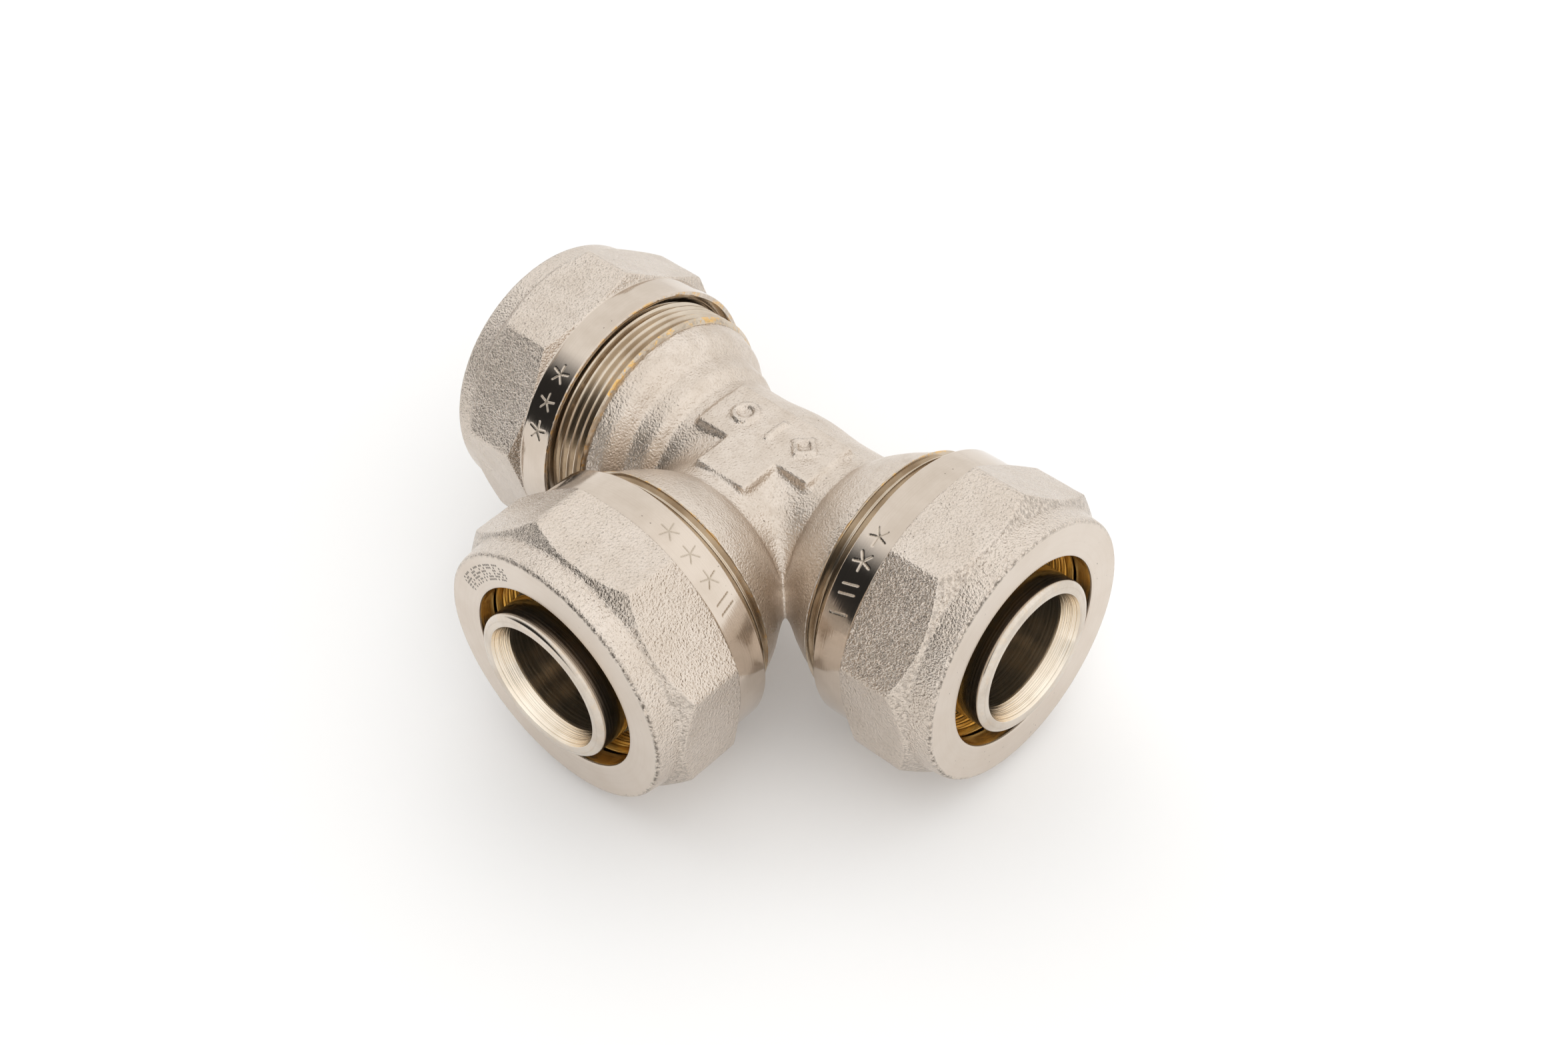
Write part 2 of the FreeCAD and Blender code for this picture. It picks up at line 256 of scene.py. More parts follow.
def blasted(name, grain=1.0, masked=False, rough=(0.34, 0.46), cloud=0.22):
    """Nickel plating over a shot-blasted forging."""
    m, nt, b = material(name)
    n = N(nt)
    tc, x, y, z, rad = coords(n)
    big = n.noise(tc, 90.0, 3.0, 0.55)
    patch = n.noise(tc, 420.0, 3.0, 0.6)
    fine = n.noise(tc, 2700.0, 2.0, 0.55)
    pits = n.voronoi(tc, 1900.0)
    grain_h = n.math("ADD", n.math("MULTIPLY", fine, 0.75), n.math("MULTIPLY", n.math("MINIMUM", pits, 0.45), 0.55))
    # stray dark specks in the plating
    speck_n = n.noise(tc, 1500.0, 1.0, 0.5)
    where = n.noise(tc, 160.0, 2.0, 0.6)
    speck = n.math("MULTIPLY", n.remap(speck_n, 0.735, 0.79), n.remap(where, 0.5, 0.66))
    col = n.mix(n.remap(big, 0.3, 0.72), NICKEL, NICKEL_PALE)
    col = n.mix(n.math("MULTIPLY", n.remap(patch, 0.40, 0.75), cloud), col, NICKEL_DEEP)
    col = n.mix(n.math("MULTIPLY", n.remap(fine, 0.50, 0.30), 0.34), col, NICKEL_DEEP)
    col = n.mix(n.math("MULTIPLY", speck, 0.75), col, PIT)
    if masked:
        r, g, specks_and_shade = mask(n)
        worn = n.math("MULTIPLY", g, n.remap(n.noise(tc, 1300.0, 2.0, 0.6), 0.50, 0.62))
        col = n.mix(worn, col, GOLD)
        # blue mask channel darkens towards PIT: real dark specks at burrs and the worn rim, plus painted shade in the
        # nut's collar crease and corner crescents
        dark = n.math("MULTIPLY", specks_and_shade, n.remap(n.noise(tc, 1700.0, 3.0, 0.7), 0.40, 0.62))
        col = n.mix(n.math("MULTIPLY", dark, 0.85), col, PIT)
    n.put(b.inputs["Base Color"], col)
    b.inputs["Metallic"].default_value = 1.0
    n.put(b.inputs["Roughness"], n.math("ADD", n.remap(patch, 0.3, 0.7, rough[0], rough[1]), n.math("MULTIPLY", speck, 0.3)))
    lump = n.bump(n.noise(tc, 650.0, 2.0, 0.5), 0.00010, 0.6)
    n.put(b.inputs["Normal"], n.bump(grain_h, 0.00018 * grain, 1.0, lump))
    return m


def turned(name, base=NICKEL, deep=NICKEL_DEEP, rough=(0.16, 0.30), ring=1.0, grain=0.25, lines=5200.0, masked=False, tint=0.5, cut=0.000012, dots=None):
    """Machined surface: fine tooling rings about the port axis under the plating."""
    m, nt, b = material(name)
    n = N(nt)
    tc, x, y, z, rad = coords(n)
    w = n.math("ADD", n.math("MULTIPLY", x, 1.0), n.math("MULTIPLY", rad, 0.83))
    wob = n.noise(tc, 260.0, 2.0, 0.5)
    w2 = n.math("ADD", w, n.math("MULTIPLY", wob, 0.00008))
    rings = n.noise(w2, lines, 2.5, 0.62, "1D")
    broad = n.noise(w2, lines * 0.16, 2.0, 0.5, "1D")
    cloud = n.noise(tc, 150.0, 3.0, 0.55)
    grit = n.noise(tc, 3600.0, 2.0, 0.5)
    col = n.mix(n.math("MULTIPLY", n.remap(cloud, 0.35, 0.72), tint), base, deep)
    col = n.mix(n.math("MULTIPLY", n.remap(rings, 0.55, 0.25), 0.22 * ring), col, deep)
    speck = n.math("MULTIPLY", n.remap(n.noise(tc, 1600.0, 1.0, 0.5), 0.74, 0.80), n.remap(n.noise(tc, 130.0, 2.0, 0.6), 0.50, 0.64))
    col = n.mix(n.math("MULTIPLY", speck, 0.7), col, PIT)
    rgh = n.remap(n.math("ADD", n.math("MULTIPLY", rings, 0.5), n.math("MULTIPLY", cloud, 0.5)), 0.3, 0.7, rough[0], rough[1])
    if masked:
        r, g, specks_and_shade = mask(n)
        worn = n.math("MULTIPLY", g, n.remap(n.noise(tc, 640.0, 4.0, 0.7), 0.50, 0.60))
        col = n.mix(worn, col, GOLD)
        dark = n.math("MULTIPLY", specks_and_shade, n.remap(n.noise(tc, 1700.0, 3.0, 0.7), 0.42, 0.60))
        col = n.mix(n.math("MULTIPLY", dark, 0.85), col, PIT)
        col = n.mix(n.math("MULTIPLY", r, 0.85), col, (0.50, 0.43, 0.345, 1.0))
        rgh = n.mixf(r, rgh, 0.5)
    first = n.bump(grit, 0.00002, 0.6 * grain)
    if dots:
        # a block of peened dots with no meaning, placed by angle and radius
        phi = n.math("MULTIPLY", n.math("ARCTAN2", n.math("MULTIPLY", y, -1.0), z), 180.0 / math.pi)
        along = n.math("DIVIDE", phi, 1.45)
        across = n.math("DIVIDE", n.math("SUBTRACT", rad, 0.0176), 0.00050)
        cell = n.node("ShaderNodeCombineXYZ")
        n.put(cell.inputs[0], n.math("FLOOR", along))
        n.put(cell.inputs[1], n.math("FLOOR", across))
        white = n.node("ShaderNodeTexWhiteNoise", noise_dimensions="3D")
        n.put(white.inputs["Vector"], cell.outputs[0])
        a2 = n.math("SUBTRACT", n.math("FRACT", along), 0.5)
        b2 = n.math("SUBTRACT", n.math("FRACT", across), 0.5)
        dist = n.math("SQRT", n.math("ADD", n.math("MULTIPLY", a2, a2), n.math("MULTIPLY", b2, b2)))
        dot = n.remap(dist, 0.46, 0.28)
        dot = n.math("MULTIPLY", dot, n.math("GREATER_THAN", white.outputs["Value"], 0.42))
        inside = n.math("MULTIPLY", n.math("GREATER_THAN", phi, dots[0]), n.math("LESS_THAN", phi, dots[1]))
        inside = n.math("MULTIPLY", inside, n.math("MULTIPLY", n.math("GREATER_THAN", across, 0.0), n.math("LESS_THAN", across, 6.0)))
        dot = n.math("MULTIPLY", dot, inside)
        col = n.mix(n.math("MULTIPLY", dot, 0.85), col, PIT)
        first = n.bump(n.math("SUBTRACT", 1.0, dot), 0.00006, 0.8, first)
    n.put(b.inputs["Base Color"], col)
    b.inputs["Metallic"].default_value = 1.0
    n.put(b.inputs["Roughness"], rgh)
    h = n.math("ADD", n.math("MULTIPLY", rings, 0.7), n.math("MULTIPLY", broad, 0.6))
    n.put(b.inputs["Normal"], n.bump(h, cut, min(1.0, 0.7 * ring), first))
    return m


MAT_FORGED = blasted("nickel_forged", 1.2, True, (0.27, 0.38), 0.24)
MAT_FACET = blasted("nickel_blasted_facets", 1.9, True, (0.19, 0.28), 0.06)
MAT_FACE_DOTTED = turned("nickel_faced_dotted", (0.70, 0.625, 0.55, 1), NICKEL, (0.32, 0.44), 0.35, 1.0, 2600.0, True, 0.6, 0.000012, (22.0, 62.0))
MAT_FACE = turned("nickel_faced", (0.70, 0.625, 0.55, 1), NICKEL, (0.32, 0.44), 0.35, 1.0, 2600.0, True, 0.6)
MAT_BAND = turned("nickel_band", NICKEL, NICKEL_DEEP, (0.07, 0.16), 0.55, 0.15, 5200.0, True, 0.35)
MAT_THREAD = turned("nickel_thread", (0.66, 0.575, 0.47, 1), (0.40, 0.31, 0.22, 1), (0.13, 0.27), 0.7, 0.3, 6000.0, True, 0.55)
MAT_BORE = turned("nickel_bore", (0.90, 0.82, 0.71, 1), (0.74, 0.63, 0.49, 1), (0.12, 0.25), 1.4, 0.25, 3000.0, False, 0.5, 0.00005)
MAT_NIPPLE = turned("nickel_nipple", (0.70, 0.63, 0.55, 1), (0.42, 0.34, 0.26, 1), (0.10, 0.22), 1.0, 0.2, 4200.0, True, 0.4, 0.00002)
MAT_BRASS = turned("bare_brass", (0.90, 0.64, 0.24, 1), (0.66, 0.40, 0.10, 1), (0.14, 0.28), 0.8, 0.4, 4200.0, False, 0.6)

m, nt, b = material("epdm_rubber")
n = N(nt)
tc, x, y, z, rad = coords(n)
n.put(b.inputs["Base Color"], n.mix(n.noise(tc, 700.0, 3.0, 0.6), (0.010, 0.011, 0.013, 1), (0.028, 0.030, 0.034, 1)))
n.put(b.inputs["Roughness"], n.remap(n.noise(tc, 500.0, 3.0, 0.6), 0.3, 0.7, 0.22, 0.42))
n.put(b.inputs["Normal"], n.bump(n.noise(tc, 2400.0, 2.0, 0.5), 0.00002, 0.35))
MAT_RUBBER = m

m, nt, b = material("ptfe_white")
n = N(nt)
tc, x, y, z, rad = coords(n)
n.put(b.inputs["Base Color"], n.mix(n.noise(tc, 500.0, 3.0, 0.6), (0.74, 0.73, 0.70, 1), (0.86, 0.85, 0.82, 1)))
n.put(b.inputs["Roughness"], n.remap(n.noise(tc, 700.0, 2.0, 0.5), 0.3, 0.7, 0.42, 0.58))
n.put(b.inputs["Normal"], n.bump(n.noise(tc, 2600.0, 2.0, 0.5), 0.00002, 0.3))
b.inputs["Subsurface Weight"].default_value = 0.05
MAT_PTFE = m


# ---------------------------------------------------------------- marks engraved in the nuts' bands
def star_depth(a, u, size):
    """Depth 0..1 of a five-armed star around (0, 0); a and u in mm along and across the band."""
    d = np.full(np.broadcast(a, u).shape, 9.0)
    for k in range(5):
        t = math.radians(90 + 72 * k)
        cx, cy = math.cos(t), math.sin(t)
        s = np.clip(a * cx + u * cy, 0.0, size)
        d = np.minimum(d, np.hypot(a - s * cx, u - s * cy))
    return d


def stroke(a, u, a0, u0, a1, u1):
    dx, dy = a1 - a0, u1 - u0
    s = np.clip(((a - a0) * dx + (u - u0) * dy) / (dx * dx + dy * dy), 0, 1)
    return np.hypot(a - a0 - s * dx, u - u0 - s * dy)


BAND_MARKS = {
    "left": {"fine": (-72, -30), "stars": (-63.5, -51.0, -38.5), "strokes": ()},
    "right": {"fine": (22, 70), "stars": (28.0, 38.5), "strokes": (48.0, 52.0, 60.0)},
    "branch": {"fine": (-62, -14), "stars": (-43.0, -31.5, -20.0), "strokes": (-52.0, -56.0)},
}


def band_marks(side, phi, d):
    """0..1 mask of the engraved lines at angle phi (deg) and distance d (mm) behind the nut's face."""
    out = np.full(np.broadcast(phi, d).shape, 9.0)
    mid = 19.25
    for at in BAND_MARKS[side]["stars"]:
        a = np.radians(phi - at) * 23.1
        out = np.minimum(out, star_depth(d - mid + 0.0 * a, a, 1.55))
    for at in BAND_MARKS[side]["strokes"]:
        a = np.radians(phi - at) * 23.1
        out = np.minimum(out, stroke(a, d - mid, -0.35, -1.3, 0.35, 1.3))
    return np.clip(1.0 - (out - 0.05) / 0.12, 0.0, 1.0)


# ---------------------------------------------------------------- compression nuts
def softmin(values, beta):
    lo = np.minimum.reduce(values)
    return lo - np.log(sum(np.exp(-beta * (v - lo)) for v in values)) / beta


RIM_WEAR = {"left": 40.0, "right": 70.0, "branch": -55.0}


def nut(side):
    face = FACE[side]
    lo, hi = BAND_MARKS[side]["fine"]
    phis = np.concatenate([np.arange(lo, hi, 0.34), np.linspace(hi, lo + 360, int((360 - hi + lo) / 1.2) + 1)])
    phis[-1] = lo + 360
    pd = phis
    ph = np.radians(pd)
    # octagon, softened at its corners
    turn = NUT_TURN[side]
    apothem = 23.26
    rel = (pd - turn - 22.5) % 45.0
    rel = np.where(rel > 22.5, rel - 45.0, rel)
    r_a = apothem / np.cos(np.radians(rel))
    r_b = apothem / np.cos(np.radians(45.0 - np.abs(rel)))
    octagon = softmin([r_a, r_b], 9.0)

    rows_u, rows_r, mats, masks = [], [], [], []

    def add(d, r, mat, m=(0.0, 0.0, 0.0)):
        r = np.broadcast_to(np.asarray(r, float), pd.shape)
        d = np.broadcast_to(np.asarray(d, float), pd.shape)
        rows_u.append(face - d)
        rows_r.append(r)
        mats.append(mat)
        mk = np.zeros((len(pd), 3))
        for k in range(3):
            mk[:, k] = m[k]
        masks.append(mk)

    # 0 facets/forged, 1 face, 2 band, 3 inner turned, 4 thread
    lump = lambda seed, size: fbm(np.cos(ph) * 23, np.sin(ph) * 23, 0 * ph + 0.0, size, seed)
    add(0.35, 16.2, 1)
    add(0.12, 16.27, 1)
    add(0.02, 16.45, 1)
    for r in np.linspace(16.9, 21.5, 9):
        add(0.0, r, 1)
    edge = 0.05 * fbm(np.cos(ph) * 23, np.sin(ph) * 23, 0 * ph, 1.1, 5)
    rough_side = 0.35 + 0.65 * np.clip(np.cos(ph - math.radians(RIM_WEAR[side])) * 1.6, 0, 1)
    for d, r, worn, dark in ((0.0, 21.72 + edge * 0.5, 0.0, 0.45), (0.08, 21.93 + edge * 0.5, 0.05, 0.95), (0.22, 22.09 + edge * 0.3, 0.05, 0.8), (0.44, 22.23, 0.0, 0.25)):
        add(d, r, 1 if d == 0 else 0)
        masks[-1][:, 1] = worn
        masks[-1][:, 2] = dark * rough_side

    def outer(d):
        rev = np.interp(d, [0.5, 3.8, 4.05, 6.7, 15.25, 16.3, 16.5], [22.28, 22.66, 22.76, 25.4, 25.4, 23.2, 23.1])
        r = softmin([np.full_like(pd, rev), octagon], 22.0)
        x = np.full_like(pd, face - d)
        yy, zz = np.sin(ph) * 24, np.cos(ph) * 24
        return r + 0.028 * fbm(x, yy, zz, 3.0, 11) + 0.012 * fbm(x, yy, zz, 0.8, 23, 2)

    ds = np.concatenate([np.linspace(0.8, 3.6, 8), np.linspace(3.75, 7.0, 22), np.linspace(7.5, 14.7, 15), np.linspace(14.95, 16.3, 12)])
    for d in ds:
        # blue mask channel: painted shade, a dark band in the crease where the front collar meets the cone (d near 4)
        add(d, outer(d), 0, (0, 0, 0.35 * math.exp(-((d - 4.0) / 0.35) ** 2)))
        if 4.0 < d < 7.2 or d > 15.2:
            cone = np.interp(d, [4.05, 6.7, 15.25, 16.3], [22.76, 25.4, 25.4, 23.2])
            # painted shade on the corner crescents where the octagon stands proud of the cones, front and rear
            masks[-1][:, 2] = np.maximum(masks[-1][:, 2], np.where(octagon - cone > 0.10, 0.42 if d < 8 else 0.2, 0.0))
    # turned band with the engraved marks
    add(16.40, 23.14, 2)
    for d in np.linspace(16.5, 21.85, 46):
        e = band_marks(side, pd, d)
        rows_u.append(np.full_like(pd, face - d))
        rows_r.append(23.1 - 0.11 * e)
        mats.append(2)
        mk = np.zeros((len(pd), 3))
        mk[:, 0] = e
        masks.append(mk)
    jag = 0.05 * fbm(np.cos(ph) * 23, np.sin(ph) * 23, 0 * ph + 3, 0.7, 31)
    add(21.98, 23.04, 2, (0, 0.55, 0.15))
    add(NUT_LENGTH - 0.02 + 0 * jag, 22.92 + 0.4 * jag, 2, (0, 0.9, 0.2))
    add(NUT_LENGTH, 22.6 + 0.5 * jag, 3, (0, 0.6, 0.2))
    add(NUT_LENGTH - 0.04, 22.36 + 0.5 * jag, 3, (0, 0.5, 0.1))
    for d, r in ((21.4, 21.65), (20.8, 21.05), (20.2, 20.45)):
        add(d, r, 3)
    # internal thread, rows follow the helix
    minor, major = 20.25, 21.12
    d0, d1 = 20.03, 7.4
    stations = [(0.0, major), (0.16, major), (0.62, minor + 0.06), (0.69, minor), (0.84, minor), (0.90, minor + 0.06), (1.34, major)]

    def thread_r(u):
        w = (u - PITCH * ph / (2 * math.pi) - (FIRST_GROOVE + 0.75)) % PITCH
        return np.interp(w, [s for s, r in stations] + [PITCH], [r for s, r in stations] + [major])

    u_low, u_high = face - d0, face - d1
    k0 = int(math.floor((u_low - FIRST_GROOVE - 0.75 - PITCH * (ph.max() / (2 * math.pi))) / PITCH)) - 1
    k1 = int(math.ceil((u_high - FIRST_GROOVE - 0.75 - PITCH * (ph.min() / (2 * math.pi))) / PITCH)) + 1
    for k in range(k0, k1 + 1):
        for s, r in stations:
            u = np.clip(FIRST_GROOVE + 0.75 + k * PITCH + s + PITCH * ph / (2 * math.pi), u_low, u_high)
            fade = np.clip((u_high - u) / 0.5, 0, 1)
            rr = thread_r(u)
            rows_u.append(u)
            rows_r.append(np.where(u >= u_high - 1e-9, minor, minor + (rr - minor) * fade))
            mats.append(4)
            masks.append(np.zeros((len(pd), 3)))
    add(7.05, 20.25, 3)
    add(6.8, 20.05, 3)
    add(3.15, 16.35, 3)
    add(2.9, 16.2, 3)
    for d in (2.0, 1.2):
        add(d, 16.2, 3)
    U, R, M = np.array(rows_u), np.array(rows_r), np.array(masks)
    ob = lathe("nut_" + side + "_shell", U, R, ph, mats, [MAT_FACET, MAT_FACE_DOTTED if side == "branch" else MAT_FACE, MAT_BAND, MAT_NIPPLE, MAT_THREAD], M, side, 32.0)
    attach(ob, "nut_" + side)
    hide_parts("nut_" + side)
    return ob


# ---------------------------------------------------------------- ports: thread, pipe socket and nipple
def port(side):
    cols = 361
    pd = np.linspace(0, 360, cols)
    ph = np.radians(pd)
    rows_u, rows_r, mats, masks = [], [], [], []

    def add(u, r, mat, m=(0.0, 0.0, 0.0)):
        rows_u.append(np.broadcast_to(np.asarray(u, float), pd.shape))
        rows_r.append(np.broadcast_to(np.asarray(r, float), pd.shape))
        mats.append(mat)
        masks.append(np.tile(np.array(m, float), (cols, 1)))

    # 0 thread, 1 nipple, 2 bore, 3 forged
    c, s = np.cos(ph) * 21, np.sin(ph) * 21
    jag = fbm(c, s, 0 * ph + 1, 0.9, {"left": 3, "right": 7, "branch": 9}[side], 3)
    add(24.05, 10.0, 2)
    add(24.05, 19.2, 3)
    add(24.15, 20.12, 0, (0, 0.2, 0.1))
    u_low, u_high = 24.62, 36.1
    sts = [(0.0, THREAD_MINOR), (0.125, THREAD_MINOR), (0.38, 20.53), (0.60, 20.90), (0.66, 20.98), (0.75, 21.0), (0.84, 20.98), (0.90, 20.90), (1.12, 20.53), (1.375, THREAD_MINOR)]

    def thread_r(u):
        w = (u - PITCH * ph / (2 * math.pi) - FIRST_GROOVE) % PITCH
        return np.interp(w, [a for a, r in sts] + [PITCH], [r for a, r in sts] + [THREAD_MINOR])

    start = thread_r(np.full_like(ph, u_low))
    add(24.30 + 0.10 * jag, np.maximum(20.22, 0.45 * start + 0.55 * 20.2), 0, (0, 0.9, 0.25))
    add(24.48 + 0.06 * jag, np.maximum(20.3, 0.85 * start + 0.15 * 20.2), 0, (0, 1.0, 0.2))
    k0 = int(math.floor((u_low - FIRST_GROOVE - PITCH) / PITCH)) - 1
    k1 = int(math.ceil((u_high - FIRST_GROOVE) / PITCH)) + 1
    for k in range(k0, k1 + 1):
        for a, r in sts:
            u = np.clip(FIRST_GROOVE + k * PITCH + a + PITCH * ph / (2 * math.pi), u_low, u_high)
            rr = thread_r(u)
            rows_u.append(u)
            rows_r.append(rr)
            mats.append(0)
            mk = np.zeros((cols, 3))
            mk[:, 1] = 0.16 * (rr > 20.93) + 0.7 * (u < u_low + 0.25)
            masks.append(mk)
    tap = [(36.45, 20.75), (36.98, 20.12), (37.0, 20.0), (37.0, 19.15), (36.95, 19.0), (35.7, 17.72), (34.5, 16.5)]
    end_r = thread_r(np.full_like(ph, u_high))
    for u, r in tap:
        add(u, np.minimum(end_r, r) if u < 37 and r > 20.05 else r, 0)
    add(33.0, 16.5, 1)
    add(31.1, 16.5, 1)
    add(31.0, 16.4, 1)
    add(31.0, 13.1, 1)
    add(31.05, 12.95, 1)
    for u in np.linspace(32.5, 39.2, 5):
        add(u, 12.95, 1)
    for seat in (40.8, 45.3):
        for u, r in ((-1.36, 12.95), (-1.30, 12.89), (-1.30, 11.25), (-1.2, 11.15), (1.2, 11.15), (1.30, 11.25), (1.30, 12.89), (1.36, 12.95)):
            add(seat + u, r, 1)
        if seat < 42:
            add(43.0, 12.95, 1)
    for u in np.linspace(47.3, 51.2, 5):
        add(u, 12.95, 1)
    # rounded tip
    wear = (0, 0.10, 0.06)
    for a in np.linspace(0, 90, 8):
        add(51.42 + 0.85 * math.sin(math.radians(a)), 12.10 + 0.85 * math.cos(math.radians(a)), 1, wear)
    add(52.3, 11.75, 1, wear)
    add(52.3, 11.35, 1)
    add(52.28, 11.06, 1, (0, 0.15, 0))
    add(52.2, 10.95, 2)
    for k in np.linspace(0.06, 0.97, 7):
        add(52.25 - 3.0 * k, 10.96 - 0.93 * k, 2)
    add(49.22, 10.02, 2)
    add(48.9, 10.0, 2)
    for u in np.linspace(46.0, 26.0, 8):
        add(u, 10.0, 2)
    U, R, M = np.array(rows_u), np.array(rows_r), np.array(masks)
    ob = lathe("port_" + side, U, R, ph, mats, [MAT_THREAD, MAT_NIPPLE, MAT_BORE, MAT_FORGED], M, side, 34.0)
    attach(ob, "root")
    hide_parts("tee_body")
    return ob


# ---------------------------------------------------------------- forged centre of the tee
STEPPED = np.array([(0, 14.4), (14.3, 14.5), (15.5, 15.75), (16.1, 16.1), (19.3, 16.75), (20.7, 18.55),
                    (21.5, 19.25), (24.2, 20.2), (26.0, 20.35), (30.0, 20.4)])
SWELLING = np.array([(0, 14.4), (14.95, 14.5), (15.5, 15.2), (17.0, 16.45), (20.0, 18.35), (22.0, 19.4), (24.2, 20.2),
                     (26.0, 20.35), (30.0, 20.4)])
_u = np.arange(0.0, 30.0, 0.05)
_g = np.exp(-0.5 * (np.arange(-40, 41) * 0.05 / 0.24) ** 2)
_g /= _g.sum()


def softened(points):
    return np.convolve(np.pad(np.interp(_u, points[:, 0], points[:, 1]), 40, mode="edge"), _g, mode="valid")


_stepped, _swelling = softened(STEPPED), softened(SWELLING)


def smin(a, b, k):
    h = np.clip(0.5 + 0.5 * (b - a) / k, 0, 1)
    return b * (1 - h) + a * h - k * h * (1 - h)


def smax(a, b, k):
    return -smin(-a, -b, k)


def box2(x, y, cx, cy, hx, hy, r=0.0):
    qx, qy = np.abs(x - cx) - hx + r, np.abs(y - cy) - hy + r
    return np.hypot(np.maximum(qx, 0), np.maximum(qy, 0)) + np.minimum(np.maximum(qx, qy), 0) - r


def body_field(x, y, z):
    ax = np.abs(x)
    run = np.sqrt(y * y + z * z) - np.where(x < 0, np.interp(ax, _u, _stepped), np.interp(ax, _u, _swelling))
    u = -y
    br = np.sqrt(x * x + z * z + np.minimum(u, 0) ** 2) - np.interp(np.maximum(u, 0), _u, _swelling)
    run = smax(run, ax - 24.3, 0.15)
    br = smax(br, u - 24.3, 0.15)
    f = smin(run, br, 2.6)
    # raised T-shaped pad
    t = smin(box2(x, y, 0, 0, 11.7, 5.2, 0.5), box2(x, y, 0, -6.0, 5.1, 6.3, 0.5), 0.5)
    pad = smax(t + (z - 14.9) * 0.30, z - 14.95, 0.45)
    pad = np.maximum(pad, 10.5 - z)
    f = smin(f, pad, 0.6)
    # generic raised marks on the pad: ring, bar, lozenge
    marks = np.abs(np.hypot(x + 6.3, (y - 0.2)) - 1.8) - 0.40
    marks = np.minimum(marks, box2(x, y, 0.2, 0.2, 0.40, 2.3, 0.3))
    loz = np.abs(x - 6.2) + np.abs(y - 0.2)
    marks = np.minimum(marks, np.abs(loz - 2.0) * 0.7071 - 0.34)
    rise = smax(marks + (z - 15.6) * 0.35, z - 15.6, 0.2)
    rise = np.maximum(rise, 13.5 - z)
    f = smin(f, rise, 0.3)
    # waterways
    f = smax(f, 10.0 - np.sqrt(y * y + z * z), 0.25)
    f = smax(f, 10.0 - np.sqrt(x * x + z * z + np.minimum(u, 0) ** 2), 0.25)
    return f


def surface_nets(f, origin, h):
    nx, ny, nz = f.shape
    inside = f < 0
    corner = [(a, b, c) for a in (0, 1) for b in (0, 1) for c in (0, 1)]
    sl = lambda o: (slice(o[0], nx - 1 + o[0]), slice(o[1], ny - 1 + o[1]), slice(o[2], nz - 1 + o[2]))
    count = np.zeros((nx - 1, ny - 1, nz - 1), np.int8)
    for o in corner:
        count += inside[sl(o)]
    active = (count > 0) & (count < 8)
    cells = np.argwhere(active)
    index = np.full(active.shape, -1, np.int64)
    index[active] = np.arange(len(cells))
    acc = np.zeros((len(cells), 3))
    num = np.zeros(len(cells))
    for o in corner:
        for axis in range(3):
            if o[axis] == 0:
                o2 = list(o)
                o2[axis] = 1
                a = f[cells[:, 0] + o[0], cells[:, 1] + o[1], cells[:, 2] + o[2]]
                b2 = f[cells[:, 0] + o2[0], cells[:, 1] + o2[1], cells[:, 2] + o2[2]]
                cross = (a < 0) != (b2 < 0)
                t = np.where(cross, a / np.where(cross, a - b2, 1.0), 0.0)
                p = np.tile(np.array(o, float), (len(cells), 1))
                p[:, axis] = t
                acc[cross] += p[cross]
                num[cross] += 1
    verts = origin + (cells + acc / num[:, None]) * h
    quads = []
    for axis in range(3):
        b1, b2 = (axis + 1) % 3, (axis + 2) % 3
        lo = [slice(None)] * 3
        hi = [slice(None)] * 3
        lo[axis], hi[axis] = slice(0, -1), slice(1, None)
        s1, s2 = inside[tuple(lo)], inside[tuple(hi)]
        e = np.argwhere(s1 != s2)
        ok = (e[:, b1] > 0) & (e[:, b2] > 0) & (e[:, b1] < f.shape[b1] - 1) & (e[:, b2] < f.shape[b2] - 1)
        e = e[ok]
        flip = ~s1[e[:, 0], e[:, 1], e[:, 2]]
        ring = []
        for da, db in ((1, 1), (0, 1), (0, 0), (1, 0)):
            c = e.copy()
            c[:, b1] -= da
            c[:, b2] -= db
            ring.append(index[c[:, 0], c[:, 1], c[:, 2]])
        q = np.stack(ring, -1)
        q[flip] = q[flip][:, ::-1]
        quads.append(q)
    return verts, np.concatenate(quads)


